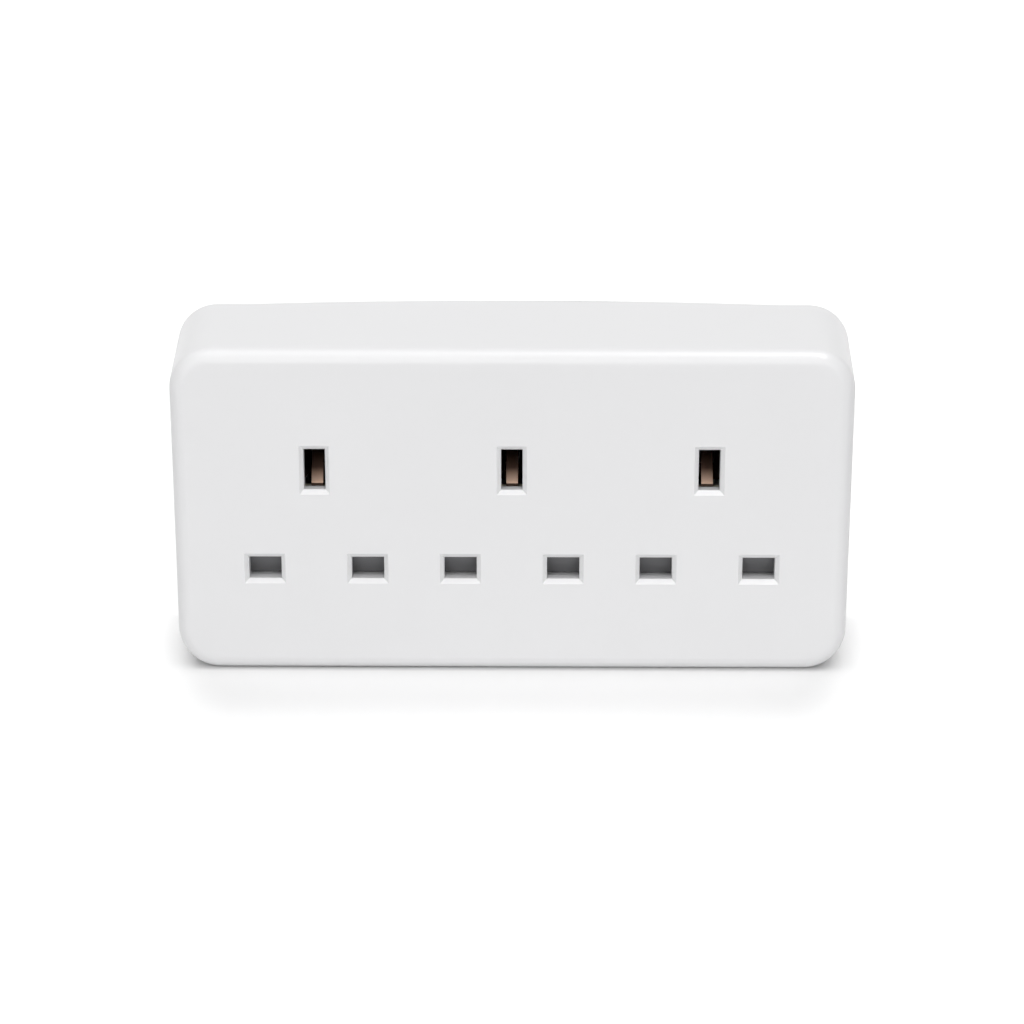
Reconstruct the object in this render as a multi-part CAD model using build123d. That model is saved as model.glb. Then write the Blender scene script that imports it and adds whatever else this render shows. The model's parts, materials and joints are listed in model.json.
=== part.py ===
from build123d import *
from math import cos, pi, radians, sin, tan
import os

# Three-outlet trailing socket for flat-pin 13 A plugs, standing on its long side, in millimetres.
# The front faces -Y, X runs along the length, and depths are measured back from the front face.

# Case
face_width = 145.4
face_height = 72.1
back_width = 149.6
top_rise = 1.9
top_crown = 0.9
case_depth = 34.1
corner_radius = 9.2
edge_rounding = 3.5
rim_rounding = 0.5
wall = 2.6
face_thickness = 3.4
back_thickness = 2.6
ledge = 1.2
cover_gap = 0.15
root = 0.5
front_y = -case_depth / 2
back_inside = case_depth - back_thickness

# Outlets: pin pattern, pin sizes and the openings round them
outlet_pitch = 42.2
outlet_x = [-outlet_pitch, 0.0, outlet_pitch]
line_row_z = 23.6
pin_drop = 22.2
earth_row_z = line_row_z + pin_drop
pin_side = 11.1
line_slot_width = 7.0
line_slot_height = 4.9
earth_slot_width = 4.6
earth_slot_height = 9.0
slot_chamfer = 0.95

# Shutters, their springs and retainers
shutter_front = 3.7
shutter_back = 8.3
shutter_half_width = 15.5
shutter_low = line_row_z - line_slot_height / 2 - 0.5
shutter_top = 31.0
ramp_top = line_row_z + line_slot_height / 2 + 0.4
ramp_depth = 3.0
wing_inside = 6.7
bridge_low = ramp_top + 0.4
spring_seat_z = 38.2
spring_low_z = 27.2
spring_radius = 1.35
spring_wire = 0.22
spring_turns = 5
spring_steps = 8
spring_pocket_radius = 1.8
spring_depth = (shutter_front + shutter_back) / 2
spring_seat_half = 4.0
guide_clearance = 0.2
guide_width = 2.0
guide_depth = 8.6
guide_top = 39.6
guide_low = shutter_low - guide_clearance - guide_width
inner_corner = 1.0
retainer_thickness = 1.8
retainer_margin = 0.6
retainer_half_width = shutter_half_width + guide_clearance + guide_width + retainer_margin
window_margin = 0.3
peg_half = 0.7
peg_gap = 0.05
peg_end_depth = guide_depth + retainer_thickness + 0.4
peg_z = [21.5, 36.0]

# Pressed contact strips
sheet = 0.6
line_strip_depth = 20.0
line_strip_offset = 6.5
strip_height = 5.0
leaf_width = 6.2
leaf_gap = 3.6
contact_mouth = 11.2
mouth_flare = 1.4
jaw_root = 4.4
jaw_shoulder = 3.4
jaw_shoulder_reach = 3.6
jaw_pinch_reach = 6.6
jaw_web_reach = (1.2, 4.4)
jaw_web_half = 3.8
earth_strip_depth = 23.4
earth_pin_half = (2.0, 4.0)
earth_tab_half = 3.2
earth_tab_depth = 19.0
earth_web_gap = 0.8
earth_web_top = earth_row_z - earth_pin_half[1] - sheet - earth_web_gap
earth_strip_height = 3.6
earth_strip_low = earth_web_top - earth_strip_height
earth_leaf_low = earth_row_z - earth_pin_half[1] + 0.1
earth_leaf_top = earth_row_z + earth_pin_half[1] + 0.1
earth_leaf_root = 0.8
earth_pinch_depth = 13.5
earth_mouth_depth = 7.0
earth_mouth_flare = 1.0

# Sprung tongue under the earth pin, folded back over its own web
tongue_width = 2.5
tongue_fold_depth = 7.8
tongue_fold_radius = 0.6
tongue_slope = 60.0
tongue_tip_z = earth_row_z + 1.1

# Terminals at the cable end
terminal_width = 7.0
terminal_height = 7.0
terminal_depth = 6.0
line_terminal_x = 54.5
earth_terminal_x = 50.0
earth_terminal_z = earth_row_z + 2.2
wire_hole_radius = 1.7
wire_hole_rise = 2.6
terminal_screw_radius = 1.5
terminal_screw_length = 2.6
terminal_head = (2.2, 0.8)
terminal_chamfer = 0.5

# Cable inlet and cord grip
inlet_z = 36.05
inlet_depth = 17.0
inlet_bore_radius = 3.9
grommet_radius = 5.2
grommet_flange_radius = 6.8
grommet_seat_x = 72.4
grommet_outer_x = 73.3
grommet_inner_x = 69.4
grommet_gap = 0.05
grip_x = 66.0
grip_post_z = 8.5
grip_post_radius = 2.8
grip_seat_depth = 20.5
grip_thickness = 2.4
grip_width = 6.0
grip_end = 3.2
grip_arch = 3.2
grip_arch_rise = 1.0
grip_screw_length = 9.0
grip_screw_head = (2.6, 1.6)

# Case screws
boss_x = 64.5
boss_z = [7.8, 64.4]
boss_radius = 3.8
boss_rib_reach = 7.2
boss_rib_half = 0.8
boss_rib_short = 4.0
screw_radius = 1.4
screw_hole_radius = 1.5
screw_clearance_radius = 1.8
screw_head_radius = 2.9
screw_head_height = 1.3
screw_recess_radius = 3.4
screw_recess_depth = 1.5
screw_hole_length = 14.0
screw_length = 12.0
shank_sides = 6
head_sides = 16
recess_arm_share = 0.62
recess_half_width = 0.35

# Webs that carry the strips
end_web_x = 61.9
web_x = [-end_web_x, -outlet_pitch / 2, outlet_pitch / 2, end_web_x]
web_thickness = 2.0
post_half = 1.0
post_margin = 0.5
back_rib_z = [6.0, 58.0, 66.0]
back_rib_height = 2.0
back_rib_half = 0.7


def station(depth):
    # Sketch plane parallel to the front face: local x is X, local y is Z
    return Plane(origin=(0, front_y + depth, 0), x_dir=(1, 0, 0), z_dir=(0, -1, 0))


def block(x_range, depth_range, z_range):
    size = [abs(b - a) for a, b in (x_range, depth_range, z_range)]
    centre = [(a + b) / 2 for a, b in (x_range, depth_range, z_range)]
    return Pos(centre[0], front_y + centre[1], centre[2]) * Box(*size)


def rod(x, z, radius, depth_from, depth_to):
    # Round bar along the depth
    disc = station(depth_to) * Pos(x, z) * Circle(radius)
    return extrude(disc, amount=depth_to - depth_from)


def side_slab(section_points, x_from, x_to):
    # Section given as depth and height, drawn out along X
    corners = [(front_y + depth, z) for depth, z in section_points]
    section = Plane.YZ * make_face(Polyline(*corners, close=True))
    return Pos(x_from, 0, 0) * extrude(section, amount=x_to - x_from, dir=(1, 0, 0))


def case_half_width(depth):
    return (face_width + (back_width - face_width) * depth / case_depth) / 2


def case_top(depth):
    return face_height + top_rise * depth / case_depth


def case_body(inset, depth_from, depth_to):
    # Flat below, flaring to the back on the ends and the top, with round corners
    side = [
        (depth_from, inset),
        (depth_to, inset),
        (depth_to, case_top(depth_to) - inset),
        (depth_from, case_top(depth_from) - inset),
    ]
    reach = back_width
    plan = [
        (-case_half_width(depth_from) + inset, front_y + depth_from),
        (case_half_width(depth_from) - inset, front_y + depth_from),
        (case_half_width(depth_to) - inset, front_y + depth_to),
        (-case_half_width(depth_to) + inset, front_y + depth_to),
    ]
    body = side_slab(side, -reach, reach) & extrude(make_face(Polyline(*plan, close=True)), amount=reach)
    corner_edges = body.edges().filter_by(lambda edge: abs((edge % 0.5).Y) > 0.9)
    return fillet(corner_edges, corner_radius - inset)


def top_crown_fill():
    # Low crown on the top wall, almost nothing at the front and full at the back
    half = face_width / 2 - corner_radius
    sunk = 0.15
    least_crown = 0.02
    sections = []
    for depth, crown in ((2 * edge_rounding, least_crown), (case_depth, top_crown + sunk)):
        top = case_top(depth) - sunk
        arc = ThreePointArc((half, top), (0, top + crown), (-half, top))
        low = case_top(0) - wall / 2
        sides = Polyline((-half, top), (-half, low), (half, low), (half, top))
        sections.append(station(depth) * make_face([arc, *sides.edges()]))
    return loft(sections, ruled=True)


def slot_cut(x, z, width, height):
    # Straight throat with a 45 degree lead-in at the face
    margin = 1.0
    throat = block(
        (x - width / 2, x + width / 2),
        (-margin, face_thickness + margin),
        (z - height / 2, z + height / 2),
    )
    lead = slot_chamfer + margin
    mouth = station(-margin) * Pos(x, z) * Rectangle(width + 2 * lead, height + 2 * lead)
    neck = station(slot_chamfer) * Pos(x, z) * Rectangle(width, height)
    return throat + loft([mouth, neck], ruled=True)


def slot_places():
    places = []
    for x in outlet_x:
        places.append((x, earth_row_z, earth_slot_width, earth_slot_height))
        places.append((x - pin_side, line_row_z, line_slot_width, line_slot_height))
        places.append((x + pin_side, line_row_z, line_slot_width, line_slot_height))
    return places


def shutter_guides(x):
    # Two side rails, a stop below and a spring seat above, with pegs that carry the retainer
    inner = shutter_half_width + guide_clearance
    depths = (face_thickness, guide_depth)
    guides = block((x - inner, x + inner), depths, (guide_low, shutter_low - guide_clearance))
    guides += block((x - spring_seat_half, x + spring_seat_half), depths, (spring_seat_z, guide_top))
    for side in (-1, 1):
        rail = (x + side * inner, x + side * (inner + guide_width))
        guides += block(sorted(rail), depths, (guide_low, guide_top))
        for z in peg_z:
            peg_x = x + side * (inner + guide_width / 2)
            reach = (peg_x - peg_half, peg_x + peg_half)
            guides += block(reach, (face_thickness, peg_end_depth), (z - peg_half, z + peg_half))
    return guides


def strip_web(x):
    # Cross web, stepped to the depths at which the contact strips lie
    low = wall / 2
    high = face_height - wall / 2
    step_z = earth_strip_low - post_margin
    section = [
        (face_thickness - root, low),
        (line_strip_depth, low),
        (line_strip_depth, step_z),
        (earth_strip_depth, step_z),
        (earth_strip_depth, high),
        (face_thickness - root, high),
    ]
    return side_slab(section, x - web_thickness / 2, x + web_thickness / 2)


def screw_boss(x, z):
    # Round boss tied to the end wall by a rib
    side = 1 if x > 0 else -1
    boss = rod(x, z, boss_radius, face_thickness - root, back_inside)
    rib_x = sorted((x, x + side * boss_rib_reach))
    rib_depths = (face_thickness - root, back_inside - boss_rib_short)
    boss += block(rib_x, rib_depths, (z - boss_rib_half, z + boss_rib_half))
    return boss


def cord_saddle():
    # Two posts with a grooved saddle between them, under the cable's line
    saddle = block(
        (grip_x - grip_width / 2, grip_x + grip_width / 2),
        (face_thickness - root, inlet_depth),
        (inlet_z - grip_post_z, inlet_z + grip_post_z),
    )
    groove_radius = inlet_bore_radius + 0.3
    groove = Plane.YZ * Pos(front_y + inlet_depth, inlet_z) * Circle(groove_radius)
    saddle -= Pos(grip_x - grip_width, 0, 0) * extrude(groove, amount=2 * grip_width, dir=(1, 0, 0))
    hole_depths = (grip_seat_depth - grip_screw_length, grip_seat_depth + 1)
    for side in (-1, 1):
        post_z = inlet_z + side * grip_post_z
        saddle += rod(grip_x, post_z, grip_post_radius, face_thickness - root, grip_seat_depth)
        saddle -= rod(grip_x, post_z, screw_hole_radius, *hole_depths)
    return saddle


def front_cover():
    shell = case_body(0, 0, case_depth)
    front_edges = shell.faces().sort_by(Axis.Y)[0].edges()
    shell = fillet(front_edges, edge_rounding) + top_crown_fill()
    cavity = case_body(wall, face_thickness, case_depth + 1)
    rebate = case_body(wall - ledge, back_inside, case_depth + 1)
    cover = shell - cavity
    for x in web_x:
        cover += strip_web(x)
    for x in (-boss_x, boss_x):
        for z in boss_z:
            cover += screw_boss(x, z)
    cover += cord_saddle()
    for x in outlet_x:
        cover += shutter_guides(x)
    cover -= rebate
    for x, z, width, height in slot_places():
        cover -= slot_cut(x, z, width, height)
    for x in (-boss_x, boss_x):
        for z in boss_z:
            cover -= rod(x, z, screw_hole_radius, back_inside - screw_hole_length, back_inside + 1)
    return cover - inlet_cut()


def inlet_cut():
    # Round hole in the end wall with a sunk seat for the grommet's flange
    axis_plane = Plane(origin=(0, front_y + inlet_depth, inlet_z), x_dir=(0, 1, 0), z_dir=(1, 0, 0))
    past_wall = back_width / 2 + 1
    cuts = []
    for x, radius in ((grommet_inner_x - 1, grommet_radius), (grommet_seat_x, grommet_flange_radius)):
        cuts.append(extrude(axis_plane.offset(x) * Circle(radius + grommet_gap), amount=past_wall - x))
    return cuts[0] + cuts[1]


def inlet_grommet():
    # Sleeve through the wall, with a flange sunk into its outside
    section = make_face(
        Polyline(
            (grommet_inner_x, inlet_bore_radius),
            (grommet_inner_x, grommet_radius),
            (grommet_seat_x, grommet_radius),
            (grommet_seat_x, grommet_flange_radius),
            (grommet_outer_x, grommet_flange_radius),
            (grommet_outer_x, inlet_bore_radius),
            close=True,
        )
    )
    ring = revolve(section, Axis.X)
    return Pos(0, front_y + inlet_depth, inlet_z) * ring


def posts_on_web(x):
    # Depth, low and high edge of each strip that crosses the web at x
    neutral_low = line_row_z - line_strip_offset - strip_height
    posts = [(line_strip_depth, neutral_low, neutral_low + strip_height)]
    if x > outlet_x[0]:
        live_low = line_row_z + line_strip_offset
        posts.append((line_strip_depth, live_low, live_low + strip_height))
    if abs(x) < outlet_pitch:
        posts.append((earth_strip_depth, earth_strip_low, earth_web_top))
    return posts


def back_cover():
    # Inset plate with recessed screw holes, posts that hold the strips down and stiffening ribs
    inset = wall - ledge + cover_gap
    plate = case_body(inset, back_inside, case_depth)
    plate = chamfer(plate.faces().sort_by(Axis.Y)[-1].edges(), rim_rounding)
    for x in web_x:
        for depth, low, high in posts_on_web(x):
            heights = (low + post_margin, high - post_margin)
            plate += block((x - post_half, x + post_half), (depth + sheet, back_inside + root), heights)
    rib_reach = boss_x - 2 * boss_radius
    for z in back_rib_z:
        depths = (back_inside - back_rib_height, back_inside + root)
        plate += block((-rib_reach, rib_reach), depths, (z - back_rib_half, z + back_rib_half))
    for x in (-boss_x, boss_x):
        for z in boss_z:
            plate -= rod(x, z, screw_clearance_radius, back_inside - 1, case_depth + 1)
            plate -= rod(x, z, screw_recess_radius, case_depth - screw_recess_depth, case_depth + 1)
    return plate


def screw(x, z, seat_depth, length, radius, head_radius, head_height):
    # Cheese-headed screw driven from the back, with a cross recess; its rounds are flats
    place = station(seat_depth) * Pos(x, z)
    shank = extrude(place * RegularPolygon(radius, shank_sides), amount=length)
    head = extrude(place * RegularPolygon(head_radius, head_sides), amount=-head_height)
    arm = head_radius * recess_arm_share
    depths = (seat_depth + head_height / 2, seat_depth + head_height + 1)
    recess = block((x - arm, x + arm), depths, (z - recess_half_width, z + recess_half_width))
    recess += block((x - recess_half_width, x + recess_half_width), depths, (z - arm, z + arm))
    return shank + head - recess


def case_screws():
    seat = case_depth - screw_recess_depth
    sizes = (screw_length, screw_radius, screw_head_radius, screw_head_height)
    return [screw(x, z, seat, *sizes) for x in (-boss_x, boss_x) for z in boss_z]


def cord_grip():
    # Flat bar with an arched middle that presses on the cable
    half = grip_post_z + grip_end
    arch = grip_arch
    foot = arch + grip_arch_rise
    low = grip_seat_depth
    high = grip_seat_depth + grip_thickness
    points = [
        (low, inlet_z - half),
        (high, inlet_z - half),
        (high, inlet_z + half),
        (low, inlet_z + half),
        (low, inlet_z + foot),
        (low - grip_arch_rise, inlet_z + arch),
        (low - grip_arch_rise, inlet_z - arch),
        (low, inlet_z - foot),
    ]
    bar = side_slab(points, grip_x - grip_width / 2, grip_x + grip_width / 2)
    bar = chamfer(bar.edges().filter_by(Axis.Y), inner_corner)
    for side in (-1, 1):
        bar -= rod(grip_x, inlet_z + side * grip_post_z, screw_clearance_radius, low - 1, high + 1)
    return bar


def cord_grip_screws():
    seat = grip_seat_depth + grip_thickness
    sizes = (grip_screw_length, screw_radius, *grip_screw_head)
    return [screw(grip_x, inlet_z + side * grip_post_z, seat, *sizes) for side in (-1, 1)]


def shutter(x):
    # Bridge with two wings, whose sloped fronts the plug's pins push up
    section = [
        (shutter_front, ramp_top),
        (shutter_front, shutter_top),
        (shutter_back, shutter_top),
        (shutter_back, shutter_low),
        (shutter_front + ramp_depth, shutter_low),
    ]
    bar = side_slab(section, x - shutter_half_width, x + shutter_half_width)
    bar -= block((x - wing_inside, x + wing_inside), (0, case_depth), (0, bridge_low))
    pocket = Pos(x, front_y + spring_depth, spring_low_z) * Cylinder(
        spring_pocket_radius, case_depth, align=(Align.CENTER, Align.CENTER, Align.MIN)
    )
    return bar - pocket


def shutter_spring(x):
    # Coil spring between the shutter's pocket and the seat above it
    length = spring_seat_z - spring_low_z - 2 * spring_wire
    steps = spring_turns * spring_steps
    points = []
    for step in range(steps + 1):
        turn = 2 * pi * step / spring_steps
        points.append((spring_radius * cos(turn), spring_radius * sin(turn), length * step / steps))
    path = Polyline(*points)
    wire = Plane(origin=path @ 0, z_dir=path % 0) * RegularPolygon(spring_wire, 4)
    coil = sweep(wire, path=path, transition=Transition.RIGHT)
    return Pos(x, front_y + spring_depth, spring_low_z + spring_wire) * coil


def shutter_retainer(x):
    # Flat moulding behind the shutter, with a window for each pin
    depths = (guide_depth, guide_depth + retainer_thickness)
    plate = block((x - retainer_half_width, x + retainer_half_width), depths, (guide_low, guide_top))
    plate = chamfer(plate.edges().filter_by(Axis.Y), inner_corner)
    for side in (-1, 1):
        centre = x + side * pin_side
        window = (line_slot_width / 2 + window_margin, line_slot_height / 2 + window_margin)
        window_z = (line_row_z - window[1], line_row_z + window[1])
        plate -= block((centre - window[0], centre + window[0]), (0, case_depth), window_z)
        for z in peg_z:
            peg_x = x + side * (shutter_half_width + guide_clearance + guide_width / 2)
            half = peg_half + peg_gap
            plate -= block((peg_x - half, peg_x + half), (0, case_depth), (z - half, z + half))
    return plate


def sheet_section(points):
    # Bent sheet: its middle line thickened by half the sheet on each side, with mitred bends
    line = [Vector(*point) for point in points]
    runs = [(b - a).normalized() for a, b in zip(line, line[1:])]
    near, far = [], []
    for index, point in enumerate(line):
        before = runs[max(index - 1, 0)]
        after = runs[min(index, len(runs) - 1)]
        normals = Vector(-before.Y, before.X) + Vector(-after.Y, after.X)
        mitre = normals * (sheet / normals.dot(normals))
        near.append(point + mitre)
        far.append(point - mitre)
    return make_face(Polyline(*near, *reversed(far), close=True))


def line_contact(x, up):
    # Sprung jaw for a flat pin: two leaves joined by a side web, on one edge of the strip
    middle = line_strip_depth + sheet / 2
    pinch = leaf_gap / 2 + sheet / 2
    mouth = pinch + mouth_flare
    carried = [
        (middle, line_strip_offset + root),
        (middle, jaw_root),
        (middle - jaw_shoulder_reach, jaw_shoulder),
        (middle - jaw_pinch_reach, pinch),
        (contact_mouth, mouth),
    ]
    free = [
        (middle - jaw_web_reach[0], -jaw_shoulder),
        (middle - jaw_shoulder_reach, -jaw_shoulder),
        (middle - jaw_pinch_reach, -pinch),
        (contact_mouth, -mouth),
    ]
    jaw = None
    for points in (carried, free):
        placed = [(front_y + depth, line_row_z + up * height) for depth, height in points]
        leaf = Plane.YZ * sheet_section(placed)
        leaf = Pos(x - leaf_width / 2, 0, 0) * extrude(leaf, amount=leaf_width, dir=(1, 0, 0))
        jaw = leaf if jaw is None else jaw + leaf
    web_x_range = (x + leaf_width / 2 - sheet / 4, x + leaf_width / 2 + sheet)
    web_depths = (middle - jaw_web_reach[1], middle - jaw_web_reach[0])
    return jaw + block(web_x_range, web_depths, (line_row_z - jaw_web_half, line_row_z + jaw_web_half))


def line_busbar(side, up):
    # Flat strip on edge with a jaw for each outlet, running on to its terminal
    low = line_row_z + line_strip_offset if up > 0 else line_row_z - line_strip_offset - strip_height
    left_end = outlet_x[0] + side * pin_side - leaf_width / 2 - 1.5
    if up < 0:
        left_end = -end_web_x - 1.0
    strip = block(
        (left_end, end_web_x + 1.0),
        (line_strip_depth, line_strip_depth + sheet),
        (low, low + strip_height),
    )
    for x in outlet_x:
        strip += line_contact(x + side * pin_side, up)
    return strip


def earth_jaw_leaf(x, side):
    # Leaf that bears on the flat side of the earth pin, flared at its mouth
    pin_side_x = earth_pin_half[0]
    middle = [
        (x + side * (pin_side_x + earth_leaf_root), front_y + earth_strip_depth + sheet / 2),
        (x + side * (pin_side_x + earth_leaf_root), front_y + earth_tab_depth),
        (x + side * pin_side_x, front_y + earth_pinch_depth),
        (x + side * (pin_side_x + earth_mouth_flare), front_y + earth_mouth_depth),
    ]
    leaf = extrude(sheet_section(middle), amount=earth_leaf_top - earth_leaf_low)
    return Pos(0, 0, earth_leaf_low) * leaf


def earth_tongue(x):
    # Web that runs forward under the pin, rounds its fold and leans back up across the pin's way
    web_middle = earth_web_top - sheet / 2
    fold_depth = tongue_fold_depth + tongue_fold_radius
    fold_z = web_middle + tongue_fold_radius
    line = [(earth_tab_depth, web_middle)]
    for turn in (-90, -135, -180, -180 - (90 - tongue_slope)):
        across = tongue_fold_radius * cos(radians(turn))
        line.append((fold_depth + across, fold_z + tongue_fold_radius * sin(radians(turn))))
    rise = tongue_tip_z - line[-1][1]
    line.append((line[-1][0] + rise / tan(radians(tongue_slope)), tongue_tip_z))
    section = Plane.YZ * sheet_section([(front_y + depth, z) for depth, z in line])
    return Pos(x - tongue_width / 2, 0, 0) * extrude(section, amount=tongue_width, dir=(1, 0, 0))


def earth_busbar():
    # Strip on edge whose tabs fold forward under each earth pin and carry the leaves and a tongue
    end_x = earth_terminal_x + terminal_width / 2
    depths = (earth_strip_depth, earth_strip_depth + sheet)
    strip = block((outlet_x[0] - earth_tab_half, end_x), depths, (earth_strip_low, earth_web_top))
    lug = (earth_terminal_x - terminal_width / 2, end_x)
    strip += block(lug, depths, (earth_strip_low, earth_terminal_z + terminal_height / 2))
    web_z = (earth_web_top - sheet, earth_web_top)
    for x in outlet_x:
        strip += earth_tongue(x)
        tab = (x - earth_tab_half, x + earth_tab_half)
        strip += block(tab, (earth_tab_depth - 1, earth_strip_depth + sheet), web_z)
        for side in (-1, 1):
            strip += earth_jaw_leaf(x, side)
            foot_x = sorted((x + side * (earth_pin_half[0] + root), x + side * earth_tab_half))
            foot_depths = (earth_tab_depth, earth_strip_depth + sheet)
            strip += block(foot_x, foot_depths, (web_z[0], earth_leaf_low + 1))
    return strip


def terminal(x, z, seat_depth):
    # Brass pillar with a wire hole along the case and a screw hole from the back
    half = (terminal_width / 2, terminal_height / 2)
    depths = (seat_depth, seat_depth + terminal_depth)
    pillar = block((x - half[0], x + half[0]), depths, (z - half[1], z + half[1]))
    pillar = chamfer(pillar.faces().sort_by(Axis.Y)[-1].edges(), terminal_chamfer)
    wire_plane = Plane.YZ * Pos(front_y + seat_depth + wire_hole_rise, z) * Circle(wire_hole_radius)
    pillar -= Pos(x - terminal_width, 0, 0) * extrude(wire_plane, amount=2 * terminal_width, dir=(1, 0, 0))
    hole_depths = (seat_depth + wire_hole_rise, seat_depth + terminal_depth + 1)
    return pillar - rod(x, z, terminal_screw_radius + 0.05, *hole_depths)


def terminal_places():
    line_seat = line_strip_depth + sheet
    live_z = line_row_z + line_strip_offset + strip_height / 2
    neutral_z = line_row_z - line_strip_offset - strip_height / 2
    return {
        "live": (line_terminal_x, live_z, line_seat),
        "neutral": (line_terminal_x, neutral_z, line_seat),
        "earth": (earth_terminal_x, earth_terminal_z, earth_strip_depth + sheet),
    }


def terminal_screws():
    screws = []
    for x, z, seat in terminal_places().values():
        top = seat + terminal_depth
        screws.append(screw(x, z, top, terminal_screw_length, terminal_screw_radius, *terminal_head))
    return screws


def write(name, shape):
    if isinstance(shape, list):
        shape = Compound(children=shape)
    export_step(shape, f"parts/{name}.step")


os.makedirs("parts", exist_ok=True)
write("front_cover", front_cover())
write("back_cover", back_cover())
write("case_screws", case_screws())
write("inlet_grommet", inlet_grommet())
write("cord_grip", cord_grip())
write("cord_grip_screws", cord_grip_screws())
for number, x in enumerate(outlet_x, start=1):
    write(f"shutter_{number}", shutter(x))
    write(f"shutter_spring_{number}", shutter_spring(x))
    write(f"shutter_retainer_{number}", shutter_retainer(x))
write("live_busbar", line_busbar(1, 1))
write("neutral_busbar", line_busbar(-1, -1))
write("earth_busbar", earth_busbar())
for pole, (x, z, seat) in terminal_places().items():
    write(f"{pole}_terminal", terminal(x, z, seat))
write("terminal_screws", terminal_screws())
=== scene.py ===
import json
from math import cos, pi, radians, sin

import bmesh
import bpy
from bpy.props import FloatProperty, IntProperty, PointerProperty, StringProperty
from mathutils import Matrix, Vector

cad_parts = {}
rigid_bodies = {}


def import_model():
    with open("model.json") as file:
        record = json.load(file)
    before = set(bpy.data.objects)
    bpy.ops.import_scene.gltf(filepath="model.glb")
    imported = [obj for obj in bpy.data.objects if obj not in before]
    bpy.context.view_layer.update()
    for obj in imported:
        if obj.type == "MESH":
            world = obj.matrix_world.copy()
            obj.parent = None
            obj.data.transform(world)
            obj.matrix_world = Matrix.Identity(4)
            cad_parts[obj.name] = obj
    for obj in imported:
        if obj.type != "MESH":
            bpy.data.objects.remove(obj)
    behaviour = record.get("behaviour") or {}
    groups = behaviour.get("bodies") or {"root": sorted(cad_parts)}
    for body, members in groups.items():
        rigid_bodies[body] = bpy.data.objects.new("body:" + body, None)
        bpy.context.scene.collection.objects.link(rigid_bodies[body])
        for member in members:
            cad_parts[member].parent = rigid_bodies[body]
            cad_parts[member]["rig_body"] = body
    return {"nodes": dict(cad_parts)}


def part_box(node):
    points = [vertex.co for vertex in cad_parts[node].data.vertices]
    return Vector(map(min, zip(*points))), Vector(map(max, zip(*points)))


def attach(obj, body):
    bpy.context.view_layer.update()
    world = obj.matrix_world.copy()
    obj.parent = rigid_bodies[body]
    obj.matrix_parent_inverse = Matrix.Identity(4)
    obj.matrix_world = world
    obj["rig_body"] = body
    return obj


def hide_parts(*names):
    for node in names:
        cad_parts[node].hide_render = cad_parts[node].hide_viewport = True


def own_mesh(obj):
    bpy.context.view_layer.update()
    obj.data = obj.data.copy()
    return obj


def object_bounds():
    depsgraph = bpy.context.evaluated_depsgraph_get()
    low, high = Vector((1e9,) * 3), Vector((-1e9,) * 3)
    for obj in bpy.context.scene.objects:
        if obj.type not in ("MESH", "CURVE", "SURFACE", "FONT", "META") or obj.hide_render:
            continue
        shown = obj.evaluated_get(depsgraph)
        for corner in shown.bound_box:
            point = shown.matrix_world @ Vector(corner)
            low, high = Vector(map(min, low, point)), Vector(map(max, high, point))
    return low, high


# Looks of a three-outlet trailing socket, laid over its solid model. Metres, front face towards -Y.

bl_info = {
    "name": "Trailing socket looks",
    "version": (1, 0, 0),
    "blender": (4, 5, 0),
    "location": "3D View > Sidebar > Trailing socket",
    "description": "Moulded case, shutters, contact strips and fasteners of a three-outlet trailing socket",
    "category": "Object",
}

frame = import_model()
cad_low, cad_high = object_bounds()

OUTLETS = (1, 2, 3)
BUSBARS = ("live_busbar", "neutral_busbar", "earth_busbar")
TERMINALS = ("live_terminal", "neutral_terminal", "earth_terminal")

MM = 0.001


# Settings that a user would change

class CaseSettings(bpy.types.PropertyGroup):
    """White mouldings of the case."""

    edge_radius: FloatProperty(
        name="Edge radius",
        description="Small radius that the mould leaves on the aperture lips and rims",
        default=0.00022, min=0.00005, unit="LENGTH",
    )
    colour: StringProperty(name="Plastic colour", description="Case plastic as sRGB hex", default="#E4E4E5")
    unevenness: FloatProperty(
        name="Unevenness",
        description="Spacing of the soft unevenness in the moulded skin",
        default=0.0028, min=0.0001, unit="LENGTH",
    )
    roughness: FloatProperty(
        name="Roughness", description="Satin of the plastic", default=0.283, min=0, max=1, subtype="FACTOR"
    )


class MechanismSettings(bpy.types.PropertyGroup):
    """Shutters, their springs and retainers."""

    edge_radius: FloatProperty(
        name="Edge radius", description="Small radius on the inner mouldings",
        default=0.00015, min=0.00005, unit="LENGTH",
    )
    shutter_colour: StringProperty(
        name="Shutter colour", description="Shutter plastic as sRGB hex", default="#757577"
    )
    spring_radius: FloatProperty(
        name="Coil radius", description="Mean radius of the shutter springs",
        default=0.00135, min=0.0003, unit="LENGTH",
    )
    spring_wire: FloatProperty(
        name="Wire radius", description="Half the wire's thickness",
        default=0.0002, min=0.00005, unit="LENGTH",
    )
    spring_turns: IntProperty(name="Turns", description="Turns of each shutter spring", default=8, min=2)


class MetalSettings(bpy.types.PropertyGroup):
    """Contact strips, terminals and screws."""

    edge_radius: FloatProperty(
        name="Edge radius", description="Rolled-over edge of the pressed strips and pillars",
        default=0.0001, min=0.00003, unit="LENGTH",
    )
    bronze_colour: StringProperty(
        name="Bronze colour", description="Contact bronze as sRGB hex", default="#9C8474"
    )
    brass_colour: StringProperty(
        name="Brass colour", description="Terminal brass as sRGB hex", default="#CDAA62"
    )
    zinc_colour: StringProperty(
        name="Zinc colour", description="Plated screws as sRGB hex", default="#C3C6CA"
    )
    head_dome: FloatProperty(
        name="Head dome", description="Share of a screw head's height that is domed",
        default=0.45, min=0, max=0.9, subtype="FACTOR",
    )


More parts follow.
